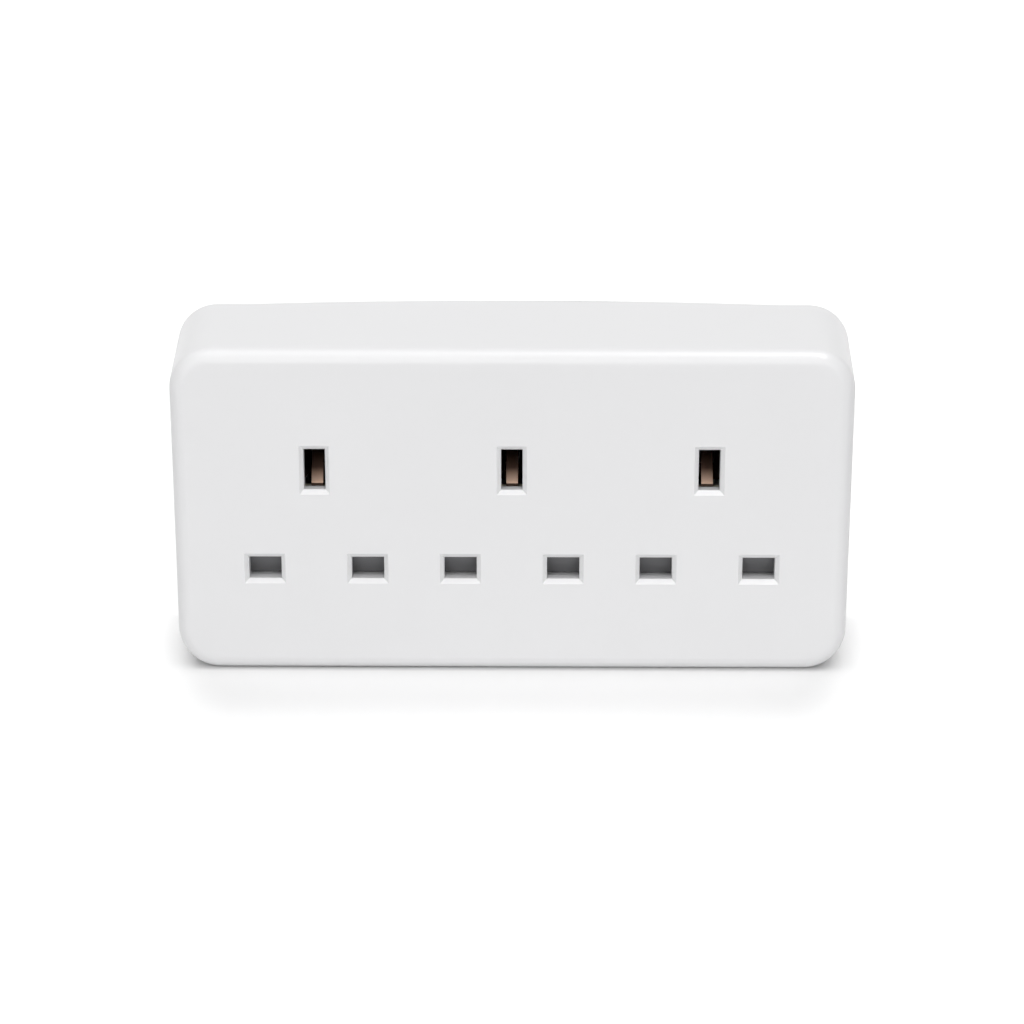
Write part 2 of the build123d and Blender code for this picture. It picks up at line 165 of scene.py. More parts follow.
class StageSettings(bpy.types.PropertyGroup):
    """Floor, light and camera."""

    floor_size: FloatProperty(
        name="Floor size", description="Side of the white floor", default=8.0, min=2, unit="LENGTH"
    )
    world_strength: FloatProperty(
        name="World strength", description="Level of the even studio light", default=0.712, min=0
    )
    side_level: FloatProperty(
        name="Side level", description="Share of that light that comes from straight left and right",
        default=0.06, min=0, max=1, subtype="FACTOR",
    )
    front_power: FloatProperty(
        name="Front power", description="Power of the large soft box over the camera",
        default=31.6, min=0, unit="POWER",
    )
    low_front_power: FloatProperty(
        name="Low front power", description="Power of the reflector below it",
        default=8.4, min=0, unit="POWER",
    )
    overhead_power: FloatProperty(
        name="Overhead power", description="Power of the strip light straight above",
        default=17.9, min=0, unit="POWER",
    )
    glint_power: FloatProperty(
        name="Glint power", description="Power of the small lamp that shows only as a glint",
        default=15.0, min=0, unit="POWER",
    )
    floor_glow: FloatProperty(
        name="Floor glow", description="Whiteness that the eye adds to the floor away from the shadow",
        default=0.36, min=0, max=1, subtype="FACTOR",
    )
    camera_pitch: FloatProperty(
        name="Camera pitch", description="How far the camera looks down",
        default=radians(18), subtype="ANGLE",
    )
    camera_yaw: FloatProperty(
        name="Camera yaw", description="Turn of the camera from square-on",
        default=radians(0.48), subtype="ANGLE",
    )
    camera_distance: FloatProperty(
        name="Camera distance", description="From the camera to the front face",
        default=0.5734, min=0.2, unit="LENGTH",
    )
    aim_across: FloatProperty(
        name="Aim across", description="How far right of the middle of the face the camera aims",
        default=0.00004, unit="LENGTH",
    )
    aim_height: FloatProperty(
        name="Aim height", description="Height on the face that the camera aims at",
        default=0.03659, unit="LENGTH",
    )
    lens: FloatProperty(name="Lens", description="Focal length in millimetres", default=94.04, min=10)


# Small helpers

def linear(hex_colour):
    """sRGB hex string to linear RGBA."""
    channels = [int(hex_colour[i:i + 2], 16) / 255 for i in (1, 3, 5)]
    return tuple(c / 12.92 if c <= 0.04045 else ((c + 0.055) / 1.055) ** 2.4 for c in channels) + (1.0,)


def shade(hex_colour, factor):
    """A linear colour made a little lighter or darker."""
    return tuple(c * factor for c in linear(hex_colour)[:3]) + (1.0,)


def add_node(tree, kind, inputs=None, **settings):
    """Add a node, set its properties, then fill or link its inputs by name or number."""
    node = tree.nodes.new(kind)
    for name, value in settings.items():
        setattr(node, name, value)
    for key, value in (inputs or {}).items():
        if isinstance(value, bpy.types.NodeSocket):
            tree.links.new(value, node.inputs[key])
        else:
            node.inputs[key].default_value = value
    return node


def calculated(tree, operation, *values):
    """One Math node's result."""
    return add_node(tree, "ShaderNodeMath", dict(enumerate(values)), operation=operation).outputs[0]


def link_mesh(name, mesh):
    """A new object at the origin that shows the mesh."""
    piece = bpy.data.objects.new(name, mesh)
    bpy.context.scene.collection.objects.link(piece)
    return piece


def baked(carrier, name):
    """The carrier's evaluated shape as a plain mesh on a new object; the carrier goes."""
    graph = bpy.context.evaluated_depsgraph_get()
    mesh = bpy.data.meshes.new_from_object(carrier.evaluated_get(graph))
    bpy.data.objects.remove(carrier)
    return link_mesh(name, mesh)


def soften(carrier, edge_radius, segments, sharp):
    """Round every edge that turns by more than the given angle."""
    bevel = carrier.modifiers.new("edge_radius", "BEVEL")
    bevel.width = edge_radius
    bevel.segments = segments
    bevel.limit_method = "ANGLE"
    bevel.angle_limit = sharp


def shade_smooth(piece):
    for face in piece.data.polygons:
        face.use_smooth = True


def finish_piece(piece, material, nodes):
    """Paint a finished piece, hang it on its nodes' body and let it stand for them."""
    piece.data.materials.clear()
    piece.data.materials.append(material)
    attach(piece, frame["nodes"][nodes[0]]["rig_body"])
    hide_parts(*nodes)
    return piece


# How near points count as one, how flat a seam between triangles goes, and how sharp an edge is softened
SAME_POINT = 0.002 * MM
FLAT_SEAM = radians(0.6)
SHARP_EDGE = radians(30)


def rounded_copy(node, name, edge_radius, segments=2):
    """A merged copy of a solid whose sharp edges carry the small radius of the real tool."""
    mesh = frame["nodes"][node].data.copy()
    shape = bmesh.new()
    shape.from_mesh(mesh)
    bmesh.ops.remove_doubles(shape, verts=shape.verts, dist=SAME_POINT)
    bmesh.ops.dissolve_limit(shape, angle_limit=FLAT_SEAM, verts=shape.verts, edges=shape.edges)
    for face in shape.faces:
        face.smooth = True
    shape.to_mesh(mesh)
    shape.free()
    carrier = link_mesh(name + "_carrier", mesh)
    soften(carrier, edge_radius, segments, SHARP_EDGE)
    carrier.modifiers.new("flat_faces_stay_flat", "WEIGHTED_NORMAL").keep_sharp = True
    return baked(carrier, name)


# Materials

# Refractive indices of the plastics
CASE_IOR = 1.5
NYLON_IOR = 1.53
VINYL_IOR = 1.52

# Numbers of a Mix node's colour sockets, which share their names with its other sockets
MIX_LOW, MIX_HIGH, MIX_RESULT = 6, 7, 2


def new_material(name):
    """A material with a Principled shader, its tree, and its Object coordinates."""
    material = bpy.data.materials.new(name)
    material.use_nodes = True
    tree = material.node_tree
    place = add_node(tree, "ShaderNodeTexCoord").outputs["Object"]
    return material, tree, tree.nodes["Principled BSDF"], place


def noise(tree, place, spacing, detail=3.0):
    """Noise with patches about so many millimetres apart; three spacings draw it out into streaks."""
    if isinstance(spacing, tuple):
        scales = [1 / (MM * step) for step in spacing]
        place = add_node(tree, "ShaderNodeMapping", {"Vector": place, "Scale": scales}).outputs["Vector"]
        scale = 1.0
    else:
        scale = 1 / (MM * spacing)
    pattern = add_node(tree, "ShaderNodeTexNoise", {"Vector": place, "Scale": scale, "Detail": detail})
    return pattern.outputs["Fac"]


def blend(tree, factor, low, high):
    """A colour between two others."""
    mix = add_node(
        tree, "ShaderNodeMix", {"Factor": factor, MIX_LOW: low, MIX_HIGH: high}, data_type="RGBA"
    )
    return mix.outputs[MIX_RESULT]


def between(tree, factor, low, high):
    """A number between two others."""
    span = add_node(tree, "ShaderNodeMapRange", {"Value": factor, "To Min": low, "To Max": high})
    return span.outputs["Result"]


def tones(hex_colour, darker, lighter):
    """The two ends of a colour's own variation."""
    return shade(hex_colour, darker), shade(hex_colour, lighter)


def surface(tree, shader, pattern, colours, roughness):
    """A colour and a roughness that both follow one pattern."""
    tree.links.new(blend(tree, pattern, *colours), shader.inputs["Base Color"])
    tree.links.new(between(tree, pattern, *roughness), shader.inputs["Roughness"])


def relief(tree, shader, pattern, strength, height):
    """Bumps, so many millimetres high, that follow a pattern."""
    bump = add_node(
        tree, "ShaderNodeBump", {"Height": pattern, "Strength": strength, "Distance": MM * height}
    )
    tree.links.new(bump.outputs["Normal"], shader.inputs["Normal"])


def moulded_case_plastic(settings):
    # Injection-moulded urea-type white plastic: dense, faintly cool white with a satin, finely eroded
    # skin. The real grain is about 0.1 mm. It is drawn coarser, as a soft unevenness, and the satin
    # varies only a little, because a wider span showed as blotches.
    satin_span = 0.005
    material, tree, shader, place = new_material("satin_moulded_white_plastic")
    flow = noise(tree, place, spacing=45.45, detail=2.0)
    skin = noise(tree, place, spacing=settings.unevenness / MM, detail=0.0)
    satin = between(tree, skin, settings.roughness - satin_span, settings.roughness + satin_span)
    tone = blend(tree, flow, *tones(settings.colour, darker=0.985, lighter=1.01))
    tree.links.new(tone, shader.inputs["Base Color"])
    tree.links.new(satin, shader.inputs["Roughness"])
    relief(tree, shader, skin, strength=0.02, height=0.01)
    shader.inputs["IOR"].default_value = CASE_IOR
    return material


def shutter_plastic(colour):
    # Grey nylon, moulded: slightly waxy, with faint flow lines along the bar
    material, tree, shader, place = new_material("moulded_grey_nylon")
    flow = noise(tree, place, spacing=(8.333, 1.111, 1.111))
    surface(tree, shader, flow, tones(colour, darker=0.88, lighter=1.1), roughness=(0.42, 0.55))
    relief(tree, shader, flow, strength=0.15, height=0.03)
    shader.inputs["IOR"].default_value = NYLON_IOR
    return material


def natural_nylon():
    # Unpigmented nylon of the retainers and the cord grip: milky and warm
    material, tree, shader, place = new_material("moulded_natural_nylon")
    cloud = noise(tree, place, spacing=6.25)
    surface(tree, shader, cloud, (linear("#D6D0BE"), linear("#E6E1D2")), roughness=(0.38, 0.5))
    relief(tree, shader, cloud, strength=0.1, height=0.03)
    shader.inputs["IOR"].default_value = NYLON_IOR
    return material


def rolled_bronze(colour):
    # Phosphor-bronze sheet with rolling lines, drawn coarser than the real ones of about 0.05 mm. It is
    # warm brown up to the low part of the earth tongues and darker above that, with painted shade where
    # the slot's top edge shades the tongues.
    lit_up_to = 4 * MM
    painted_shade_from = 7 * MM
    material, tree, shader, place = new_material("rolled_phosphor_bronze")
    lines = noise(tree, place, spacing=(0.3333, 16.67, 0.3333), detail=4.0)
    bronze_blotches = noise(tree, place, spacing=3.846, detail=4.0)
    strip_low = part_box("earth_busbar")[0].z
    height = add_node(tree, "ShaderNodeSeparateXYZ", {"Vector": place}).outputs["Z"]
    # Painted shade: 1 keeps the bronze's own tone low down, 0 gives the dark painted shade higher up
    painted_shade_fade = add_node(tree, "ShaderNodeMapRange", {
        "Value": height, "From Min": strip_low + painted_shade_from, "From Max": strip_low + lit_up_to,
    }).outputs["Result"]
    # The dark tones of the painted shade, blotched at random
    shaded_tone = blend(tree, bronze_blotches, linear("#34261E"), linear("#40302A"))
    bronze_tone = blend(tree, bronze_blotches, *tones(colour, darker=0.74, lighter=0.94))
    tree.links.new(blend(tree, painted_shade_fade, shaded_tone, bronze_tone), shader.inputs["Base Color"])
    tree.links.new(between(tree, lines, low=0.3, high=0.38), shader.inputs["Roughness"])
    relief(tree, shader, lines, strength=0.1, height=0.01)
    shader.inputs["Metallic"].default_value = 1.0
    return material


def cut_brass(colour):
    # Extruded and sawn brass pillars: yellow metal with fine saw lines across
    material, tree, shader, place = new_material("sawn_extruded_brass")
    lines = noise(tree, place, spacing=(2.5, 2.5, 0.2))
    surface(tree, shader, lines, tones(colour, darker=0.85, lighter=1.05), roughness=(0.25, 0.42))
    relief(tree, shader, lines, strength=0.2, height=0.02)
    shader.inputs["Metallic"].default_value = 1.0
    return material


def zinc_plate(colour):
    # Bright zinc plating on steel screws: cool grey, softly blotched
    material, tree, shader, place = new_material("bright_zinc_plate")
    blotch = noise(tree, place, spacing=1.111)
    surface(tree, shader, blotch, tones(colour, darker=0.86, lighter=1.06), roughness=(0.22, 0.4))
    shader.inputs["Metallic"].default_value = 1.0
    return material


def drawn_spring_wire():
    # Drawn stainless spring wire: grey, with a fine unevenness that dulls the shine
    material, tree, shader, place = new_material("drawn_spring_wire")
    skin = noise(tree, place, spacing=0.25, detail=2.0)
    surface(tree, shader, skin, (linear("#8F9294"), linear("#B4B7B9")), roughness=(0.25, 0.38))
    shader.inputs["Metallic"].default_value = 1.0
    return material


def soft_grommet():
    # Flexible moulded vinyl of the cable inlet: pale grey, matt, a little uneven
    material, tree, shader, place = new_material("moulded_soft_vinyl")
    skin = noise(tree, place, spacing=0.8333)
    surface(tree, shader, skin, (linear("#D2D3D4"), linear("#DCDDDE")), roughness=(0.5, 0.64))
    relief(tree, shader, skin, strength=0.2, height=0.03)
    shader.inputs["IOR"].default_value = VINYL_IOR
    return material


# Screws: one lathe-turned screw, placed on points by Geometry Nodes

# How near points count as one on the lathe
TURNED_POINT = 0.0001 * MM

# A screw head's own proportions: its flat, its recess and its softened edges as shares of its radius,
# and the recess's depth as a share of its height
HEAD_FLAT = 0.55
DOME_STEPS = 5
LATHE_STEPS = 32
RECESS_ARM = 0.6
RECESS_WIDTH = 0.26
RECESS_DEPTH = 0.6
RECESS_TAPER = 0.7
SCREW_EDGE = 0.02
SCREW_SHARP = radians(35)


def screw_mesh(name, shank_radius, length, head_radius, head_height, dome):
    """A pan-headed screw with its seat at the origin and its head towards +Y, turned as a lathe would."""
    rim = head_height * (1 - dome)
    flat = head_radius * HEAD_FLAT
    profile = [(0, head_height), (flat, head_height)]
    for step in range(1, DOME_STEPS + 1):
        turn = pi / 2 * step / DOME_STEPS
        profile.append((flat + (head_radius - flat) * sin(turn), rim + (head_height - rim) * cos(turn)))
    profile += [(head_radius, 0), (shank_radius, 0), (shank_radius, shank_radius - length), (0, -length)]
    shape = bmesh.new()
    corners = [shape.verts.new((radius, along, 0)) for radius, along in profile]
    edges = [shape.edges.new(pair) for pair in zip(corners, corners[1:])]
    bmesh.ops.spin(
        shape, geom=corners + edges, cent=(0, 0, 0), axis=(0, 1, 0), angle=2 * pi, steps=LATHE_STEPS,
        use_merge=True,
    )
    bmesh.ops.remove_doubles(shape, verts=shape.verts, dist=TURNED_POINT)
    return closed_mesh(name, shape)


def cross_cutter(arm, width, depth, top):
    """Two crossed tapering bars that press the cross recess into a screw head."""
    shape = bmesh.new()
    for along, across in ((arm, width / 2), (width / 2, arm)):
        outline = [(-along, -across), (along, -across), (along, across), (-along, across)]
        mouth = [shape.verts.new((x, top + depth, z)) for x, z in outline]
        floor = [shape.verts.new((x * RECESS_TAPER, top - depth, z * RECESS_TAPER)) for x, z in outline]
        shape.faces.new(mouth)
        shape.faces.new(floor[::-1])
        for i in range(4):
            shape.faces.new((mouth[i], floor[i], floor[(i + 1) % 4], mouth[(i + 1) % 4]))
    return closed_mesh("cross_cutter", shape)


def closed_mesh(name, shape):
    """A plain mesh of a closed shape, its faces turned outwards; the shape goes."""
    bmesh.ops.recalc_face_normals(shape, faces=shape.faces)
    mesh = bpy.data.meshes.new(name)
    shape.to_mesh(mesh)
    shape.free()
    return mesh


def recessed_screw(name, shank_radius, length, head_radius, head_height, dome):
    """The turned screw with its cross recess cut and its edges softened."""
    turned = screw_mesh(name, shank_radius, length, head_radius, head_height, dome)
    cross = cross_cutter(
        head_radius * RECESS_ARM, head_radius * RECESS_WIDTH, head_height * RECESS_DEPTH, head_height
    )
    screw = link_mesh(name + "_turned", turned)
    cutter = link_mesh("cutter", cross)
    cut = screw.modifiers.new("recess", "BOOLEAN")
    cut.object = cutter
    cut.use_self = True
    soften(screw, head_radius * SCREW_EDGE, 2, SCREW_SHARP)
    screw = baked(screw, name)
    bpy.data.objects.remove(cutter)
    shade_smooth(screw)
    return screw


# Geometry Nodes trees

def new_tree(name, sockets):
    """A geometry tree with named inputs; gives the tree, its input node and its output node."""
    tree = bpy.data.node_groups.new(name, "GeometryNodeTree")
    tree.interface.new_socket("Geometry", in_out="INPUT", socket_type="NodeSocketGeometry")
    for label, kind, default in sockets:
        socket = tree.interface.new_socket(label, in_out="INPUT", socket_type=kind)
        if default is not None:
            socket.default_value = default
    tree.interface.new_socket("Geometry", in_out="OUTPUT", socket_type="NodeSocketGeometry")
    return tree, add_node(tree, "NodeGroupInput"), add_node(tree, "NodeGroupOutput")


def grown(name, tree, values, mesh=None):
    """Run a tree on a carrier with the given named inputs and keep its plain mesh."""
    carrier = link_mesh(name + "_carrier", mesh or bpy.data.meshes.new(name))
    modifier = carrier.modifiers.new(tree.name, "NODES")
    modifier.node_group = tree
    for socket in tree.interface.items_tree:
        if socket.in_out == "INPUT" and socket.name in values:
            modifier[socket.identifier] = values[socket.name]
    return baked(carrier, name)


# Numbers of a Random Value node's float sockets, which share their names with its other sockets
RANDOM_MAX, RANDOM_VALUE = 3, 1

# How many pieces a turn of a spring has, and how many sides its wire
COIL_STEPS = 24
WIRE_SIDES = 10


def screws_on_points_tree():
    """One screw on every point, each stopped at its own turn."""
    tree, given, result = new_tree("screws_on_points", [
        ("Screw", "NodeSocketObject", None),
        ("Turn Spread", "NodeSocketFloat", pi / 2),
        ("Seed", "NodeSocketInt", 7),
        ("Finish", "NodeSocketMaterial", None),
    ])
    screw = add_node(tree, "GeometryNodeObjectInfo", {"Object": given.outputs["Screw"]})
    turn = add_node(
        tree, "FunctionNodeRandomValue",
        {RANDOM_MAX: given.outputs["Turn Spread"], "Seed": given.outputs["Seed"]}, data_type="FLOAT",
    )
    turned = add_node(tree, "ShaderNodeCombineXYZ", {"Y": turn.outputs[RANDOM_VALUE]})
    placed = add_node(tree, "GeometryNodeInstanceOnPoints", {
        "Points": given.outputs["Geometry"],
        "Instance": screw.outputs["Geometry"],
        "Rotation": turned.outputs["Vector"],
    })
    solid = add_node(tree, "GeometryNodeRealizeInstances", {"Geometry": placed.outputs["Instances"]})
    painted = add_node(tree, "GeometryNodeSetMaterial", {
        "Geometry": solid.outputs["Geometry"], "Material": given.outputs["Finish"],
    })
    tree.links.new(painted.outputs["Geometry"], result.inputs["Geometry"])
    return tree


def coil_spring_tree():
    """A wound wire whose pitch closes up towards both ends."""
    tree, given, result = new_tree("coil_spring", [
        ("Coil Radius", "NodeSocketFloat", 0.00135),
        ("Wire Radius", "NodeSocketFloat", 0.0002),
        ("Turns", "NodeSocketFloat", 8.0),
        ("Length", "NodeSocketFloat", 0.01),
        ("Low End", "NodeSocketVector", (0.0, 0.0, 0.0)),
        ("Finish", "NodeSocketMaterial", None),
    ])
    coil = add_node(tree, "GeometryNodeCurveSpiral", {
        "Resolution": COIL_STEPS,
        "Rotations": given.outputs["Turns"],
        "Start Radius": given.outputs["Coil Radius"],
        "End Radius": given.outputs["Coil Radius"],
        "Height": given.outputs["Length"],
    })
    along = add_node(tree, "GeometryNodeSplineParameter").outputs["Factor"]
    eased = add_node(tree, "ShaderNodeMapRange", {"Value": along}, interpolation_type="SMOOTHSTEP")
    lag = calculated(tree, "SUBTRACT", eased.outputs["Result"], along)
    lift = calculated(tree, "MULTIPLY", lag, given.outputs["Length"])
    offset = add_node(tree, "ShaderNodeCombineXYZ", {"Z": lift})
    closed = add_node(tree, "GeometryNodeSetPosition", {
        "Geometry": coil.outputs["Curve"], "Offset": offset.outputs["Vector"],
    })
    section = add_node(tree, "GeometryNodeCurvePrimitiveCircle", {
        "Resolution": WIRE_SIDES, "Radius": given.outputs["Wire Radius"],
    })
    wire = add_node(tree, "GeometryNodeCurveToMesh", {
        "Curve": closed.outputs["Geometry"], "Profile Curve": section.outputs["Curve"], "Fill Caps": True,
    })
    placed = add_node(tree, "GeometryNodeTransform", {
        "Geometry": wire.outputs["Mesh"], "Translation": given.outputs["Low End"],
    })
    painted = add_node(tree, "GeometryNodeSetMaterial", {
        "Geometry": placed.outputs["Geometry"], "Material": given.outputs["Finish"],
    })
    tree.links.new(painted.outputs["Geometry"], result.inputs["Geometry"])
    return tree


# Operators, one for each piece or group of like pieces

class PieceOperator:
    """What every step shares."""

    bl_options = {"REGISTER", "UNDO"}


class CaseOperator(PieceOperator, bpy.types.Operator):
    """Front and back covers with softened edges and satin white plastic"""

    bl_idname = "trailing_socket.case"
    bl_label = "Case covers"

    def execute(self, context):
        settings = context.scene.trailing_socket_case
        plastic = moulded_case_plastic(settings)
        for node in ("front_cover", "back_cover"):
            cover = rounded_copy(node, node + "_moulding", settings.edge_radius, segments=3)
            finish_piece(cover, plastic, [node])
        return {"FINISHED"}


class InletOperator(PieceOperator, bpy.types.Operator):
    """Cable inlet grommet and the cord grip behind it"""

    bl_idname = "trailing_socket.inlet"
    bl_label = "Cable inlet and cord grip"

    def execute(self, context):
        edge = context.scene.trailing_socket_mechanism.edge_radius
        grommet = rounded_copy("inlet_grommet", "inlet_grommet_moulding", edge)
        finish_piece(grommet, soft_grommet(), ["inlet_grommet"])
        grip = rounded_copy("cord_grip", "cord_grip_moulding", edge)
        finish_piece(grip, natural_nylon(), ["cord_grip"])
        return {"FINISHED"}


class ShutterOperator(PieceOperator, bpy.types.Operator):
    """Sliding shutters and the retainers behind them"""

    bl_idname = "trailing_socket.shutters"
    bl_label = "Shutters and retainers"

    def execute(self, context):
        settings = context.scene.trailing_socket_mechanism
        grey = shutter_plastic(settings.shutter_colour)
        milky = natural_nylon()
        for number in OUTLETS:
            shutter = rounded_copy(f"shutter_{number}", f"shutter_{number}_moulding", settings.edge_radius)
            finish_piece(shutter, grey, [f"shutter_{number}"])
            node = f"shutter_retainer_{number}"
            retainer = rounded_copy(node, node + "_moulding", settings.edge_radius)
            finish_piece(retainer, milky, [node])
        return {"FINISHED"}


class SpringOperator(PieceOperator, bpy.types.Operator):
    """Coil springs that close the shutters"""

    bl_idname = "trailing_socket.springs"
    bl_label = "Shutter springs"

    def execute(self, context):
        settings = context.scene.trailing_socket_mechanism
        tree = coil_spring_tree()
        steel = drawn_spring_wire()
        wire = settings.spring_wire
        for number in OUTLETS:
            node = f"shutter_spring_{number}"
            low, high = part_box(node)
            middle = (low + high) / 2
            coil = grown(node + "_coil", tree, {
                "Coil Radius": settings.spring_radius,
                "Wire Radius": wire,
                "Turns": float(settings.spring_turns),
                "Length": high.z - low.z - 2 * wire,
                "Low End": (middle.x, middle.y, low.z + wire),
                "Finish": steel,
            })
            shade_smooth(coil)
            finish_piece(coil, steel, [node])
            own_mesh(coil)
        return {"FINISHED"}


class ContactOperator(PieceOperator, bpy.types.Operator):
    """Pressed bronze strips with their contacts, and the brass terminals"""

    bl_idname = "trailing_socket.contacts"
    bl_label = "Contact strips and terminals"

    def execute(self, context):
        settings = context.scene.trailing_socket_metal
        bronze = rolled_bronze(settings.bronze_colour)
        brass = cut_brass(settings.brass_colour)
        for node in BUSBARS:
            strip = rounded_copy(node, node + "_strip", settings.edge_radius)
            finish_piece(strip, bronze, [node])
        for node in TERMINALS:
            pillar = rounded_copy(node, node + "_pillar", settings.edge_radius)
            finish_piece(pillar, brass, [node])
        return {"FINISHED"}


class ScrewOperator(PieceOperator, bpy.types.Operator):
    """Case, cord grip and terminal screws with cross recesses"""

    bl_idname = "trailing_socket.screws"
    bl_label = "Screws"

    def execute(self, context):
        dome = context.scene.trailing_socket_metal.head_dome
        zinc = zinc_plate(context.scene.trailing_socket_metal.zinc_colour)
        tree = screws_on_points_tree()
        for node in ("case_screws", "cord_grip_screws", "terminal_screws"):
            heads = screw_places(node)
            points = bpy.data.meshes.new(node + "_points")
            points.from_pydata([seat for seat, sizes in heads], [], [])
            screw = recessed_screw(node + "_one", *heads[0][1], dome)
            group = grown(node + "_turned", tree, {"Screw": screw, "Finish": zinc}, points)
            bpy.data.objects.remove(screw)
            finish_piece(group, zinc, [node])
        return {"FINISHED"}


def screw_places(node):
    """Seat and sizes of every screw in a group node, read from the frame's separate solids."""
    shape = bmesh.new()
    shape.from_mesh(frame["nodes"][node].data)
    bmesh.ops.remove_doubles(shape, verts=shape.verts, dist=SAME_POINT)
    left = set(shape.verts)
    heads = []
    while left:
        heap = [left.pop()]
        solid = []
        while heap:
            vertex = heap.pop()
            solid.append(vertex.co.copy())
            for edge in vertex.link_edges:
                other = edge.other_vert(vertex)
                if other in left:
                    left.remove(other)
                    heap.append(other)
        heads.append(measured_screw(solid))
    shape.free()
    return sorted(heads, key=lambda head: tuple(head[0]))


def measured_screw(points):
    """Seat, and shank radius, length, head radius and head height, of one solid screw along Y."""
    rim_share = 0.97
    low = Vector([min(p[i] for p in points) for i in range(3)])
    high = Vector([max(p[i] for p in points) for i in range(3)])
    middle = (low + high) / 2

    def off_axis(point):
        return Vector((point.x - middle.x, point.z - middle.z)).length

    shank = max(off_axis(p) for p in points if p.y < low.y + SAME_POINT / 2)
    head = (high.x - low.x) / 2
    seat = min(p.y for p in points if off_axis(p) > head * rim_share)
    return (middle.x, seat, middle.z), (shank, seat - low.y, head, high.y - seat)


# Stage

# The lamps: their setting, their place from the middle of the case, their width and height in metres,
# and whether they light matt surfaces or show only as a glint
LAMPS = {
    "front_soft_box": ("front_power", (0, -2.1, 2.1), (3.2, 3.2), True),
    "low_reflector": ("low_front_power", (0, -2.5, 0.75), (2.6, 1.2), True),
    "overhead_strip": ("overhead_power", (0, -0.27, 2.2), (2.6, 0.94), True),
    "glint_lamp": ("glint_power", (0.66, -0.62, 2.1), (0.2, 0.7), False),
}

# The floor keeps its shade under the case and a little past it, and is plain white farther off: from
# this far inside the case's ends, and over these distances past its side, front and back
SHADE_INSET = 17 * MM
SHADE_SIDE = 25.7 * MM
SHADE_FRONT = 50 * MM
SHADE_BACK = 3 * MM

# The shade is full over this share of those distances and then fades
SHADE_FULL = 0.25

# The glow grows to full white between these distances, where the lamps no longer reach
NEAR_FLOOR = 0.5
FAR_FLOOR = 2.0

# Millimetres, like the lens
SENSOR_WIDTH = 36


class StageOperator(PieceOperator, bpy.types.Operator):
    """White floor, studio world, four lamps and the camera at the photograph's angle"""

    bl_idname = "trailing_socket.stage"
    bl_label = "Stage, light and camera"

    def execute(self, context):
        settings = context.scene.trailing_socket_stage
        lay_floor(settings)
        hang_lights(context.scene, settings)
        place_camera(context.scene, settings)
        context.scene.view_settings.view_transform = "Standard"
        return {"FINISHED"}


def lay_floor(settings):
    shape = bmesh.new()
    bmesh.ops.create_grid(shape, x_segments=1, y_segments=1, size=settings.floor_size / 2)
    mesh = bpy.data.meshes.new("floor")
    shape.to_mesh(mesh)
    shape.free()
    floor = link_mesh("floor", mesh)
    floor.data.materials.append(studio_white(settings.floor_glow))


def studio_white(glow):
    # Matt white sweep: it reflects evenly, and away from the piece's own shadow it shows as plain white
    # to the eye, in reflections and through clear things
    material, tree, shader, place = new_material("matt_studio_white")
    paper = noise(tree, place, spacing=333.3, detail=2.0)
    white = blend(tree, paper, linear("#ECECEC"), linear("#EEEEEE"))
    tree.links.new(white, shader.inputs["Base Color"])
    shader.inputs["Roughness"].default_value = 1.0
    shader.inputs["Specular IOR Level"].default_value = 0.0
    distance = add_node(tree, "ShaderNodeVectorMath", {0: place}, operation="LENGTH").outputs["Value"]
    level = add_node(tree, "ShaderNodeMapRange", {
        "Value": distance, "From Min": NEAR_FLOOR, "From Max": FAR_FLOOR, "To Min": glow, "To Max": 1.0,
    }).outputs["Result"]
    lit = calculated(tree, "MULTIPLY", seen_rays(tree), clear_of_shade(tree, place))
    tree.links.new(calculated(tree, "MULTIPLY", lit, level), shader.inputs["Emission Strength"])
    shader.inputs["Emission Color"].default_value = (1, 1, 1, 1)
    return material


def clear_of_shade(tree, place):
    """0 on the floor in the piece's shade, 1 away from it, softly rounded at the corners."""
    axes = add_node(tree, "ShaderNodeSeparateXYZ", {"Vector": place}).outputs
    across = calculated(tree, "ABSOLUTE", axes["X"])
    beyond = add_node(tree, "ShaderNodeCombineXYZ", {
        "X": past(tree, across, cad_high.x - SHADE_INSET, SHADE_SIDE),
        "Y": past(tree, axes["Y"], cad_low.y, -SHADE_FRONT),
        "Z": past(tree, axes["Y"], cad_high.y, SHADE_BACK),
    }).outputs["Vector"]
    away = add_node(tree, "ShaderNodeVectorMath", {0: beyond}, operation="LENGTH").outputs["Value"]
    return add_node(
        tree, "ShaderNodeMapRange", {"Value": away, "From Min": SHADE_FULL, "From Max": 1.0},
        interpolation_type="SMOOTHSTEP",
    ).outputs["Result"]


def past(tree, value, edge, reach):
    """How far a value lies past an edge, in reaches up to ten; a negative reach counts downwards."""
    return add_node(tree, "ShaderNodeMapRange", {
        "Value": value, "From Min": edge, "From Max": edge + 10 * reach, "To Max": 10.0,
    }).outputs["Result"]


def seen_rays(tree):
    """1 for what the eye sees directly, in reflections and through clear things, 0 for falling light."""
    rays = add_node(tree, "ShaderNodeLightPath").outputs
    direct = calculated(tree, "MAXIMUM", rays["Is Camera Ray"], rays["Is Glossy Ray"])
    return calculated(tree, "MAXIMUM", direct, rays["Is Transmission Ray"])


def hang_lights(scene, settings):
    scene.world = studio_world(settings)
    aim = (cad_low + cad_high) / 2
    for name, (power, place, size, lights_matt) in LAMPS.items():
        lamp = bpy.data.lights.new(name, "AREA")
        lamp.shape = "RECTANGLE"
        lamp.energy = getattr(settings, power)
        lamp.size, lamp.size_y = size
        holder = bpy.data.objects.new(name, lamp)
        scene.collection.objects.link(holder)
        holder.location = aim + Vector(place)
        holder.rotation_euler = (aim - holder.location).to_track_quat("-Z", "Y").to_euler()
        holder.visible_diffuse = lights_matt


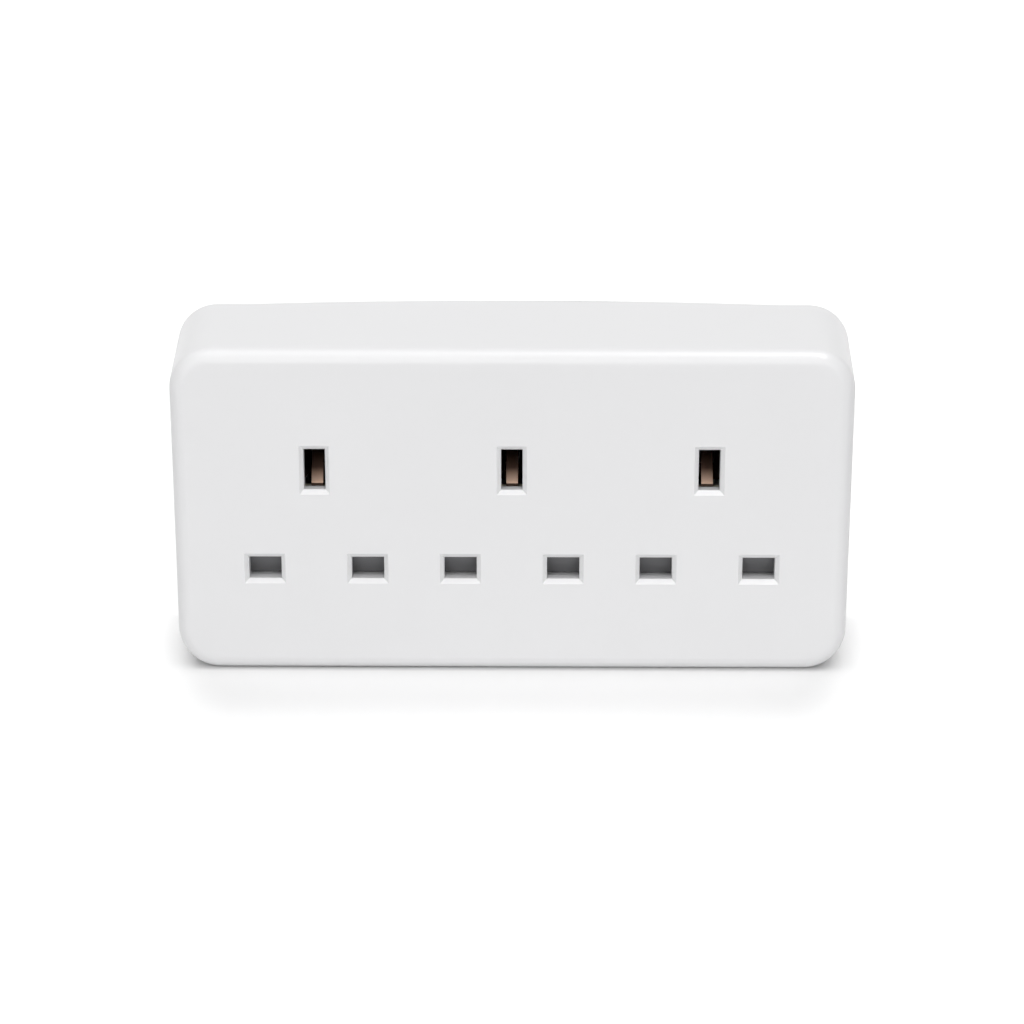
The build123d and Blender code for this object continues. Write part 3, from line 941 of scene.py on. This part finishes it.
def studio_world(settings):
    # Even light from every side, weaker from the left and right, where the studio is open, and plain
    # white to the eye, in reflections and through clear things
    side_starts, side_full = 0.3, 0.8
    world = bpy.data.worlds.new("even_studio_light")
    world.use_nodes = True
    tree = world.node_tree
    place = add_node(tree, "ShaderNodeTexCoord").outputs["Generated"]
    across = add_node(tree, "ShaderNodeSeparateXYZ", {"Vector": place}).outputs["X"]
    level = add_node(tree, "ShaderNodeMapRange", {
        "Value": calculated(tree, "ABSOLUTE", across), "From Min": side_starts, "From Max": side_full,
        "To Min": settings.world_strength, "To Max": settings.world_strength * settings.side_level,
    }, interpolation_type="SMOOTHSTEP").outputs["Result"]
    background = tree.nodes["Background"]
    tree.links.new(calculated(tree, "MAXIMUM", seen_rays(tree), level), background.inputs["Strength"])
    background.inputs["Color"].default_value = linear("#FFFFFF")
    return world


def place_camera(scene, settings):
    pitch = settings.camera_pitch
    yaw = settings.camera_yaw
    right = Vector((cos(yaw), sin(yaw), 0))
    ahead = Vector((-sin(yaw) * cos(pitch), cos(yaw) * cos(pitch), -sin(pitch)))
    up = Vector((-sin(yaw) * sin(pitch), cos(yaw) * sin(pitch), cos(pitch)))
    camera = bpy.data.cameras.new("camera")
    camera.lens = settings.lens
    camera.sensor_width = SENSOR_WIDTH
    holder = bpy.data.objects.new("camera", camera)
    scene.collection.objects.link(holder)
    target = Vector((settings.aim_across, cad_low.y, settings.aim_height))
    pose = Matrix((right, up, -ahead)).transposed().to_4x4()
    pose.translation = target - settings.camera_distance * ahead
    holder.matrix_world = pose
    scene.camera = holder


class SidebarPanel(bpy.types.Panel):
    """Steps and settings of the trailing socket"""

    bl_idname = "VIEW3D_PT_trailing_socket"
    bl_label = "Trailing socket"
    bl_space_type = "VIEW_3D"
    bl_region_type = "UI"
    bl_category = "Trailing socket"

    def draw(self, context):
        for group in SETTINGS:
            box = self.layout.box()
            settings = getattr(context.scene, group)
            for name in settings.__annotations__:
                box.prop(settings, name)
        for step in STEPS:
            self.layout.operator(step.bl_idname)


SETTINGS = {
    "trailing_socket_case": CaseSettings,
    "trailing_socket_mechanism": MechanismSettings,
    "trailing_socket_metal": MetalSettings,
    "trailing_socket_stage": StageSettings,
}
STEPS = (
    StageOperator, CaseOperator, InletOperator, ShutterOperator, SpringOperator, ContactOperator,
    ScrewOperator,
)


def register():
    for kind in (*SETTINGS.values(), *STEPS, SidebarPanel):
        bpy.utils.register_class(kind)
    for name, kind in SETTINGS.items():
        setattr(bpy.types.Scene, name, PointerProperty(type=kind))


def unregister():
    for name in SETTINGS:
        delattr(bpy.types.Scene, name)
    for kind in (SidebarPanel, *reversed(STEPS), *SETTINGS.values()):
        bpy.utils.unregister_class(kind)


def main():
    register()
    bpy.ops.trailing_socket.stage()
    bpy.ops.trailing_socket.case()
    bpy.ops.trailing_socket.inlet()
    bpy.ops.trailing_socket.shutters()
    bpy.ops.trailing_socket.springs()
    bpy.ops.trailing_socket.contacts()
    bpy.ops.trailing_socket.screws()


if __name__ == "__main__":
    main()
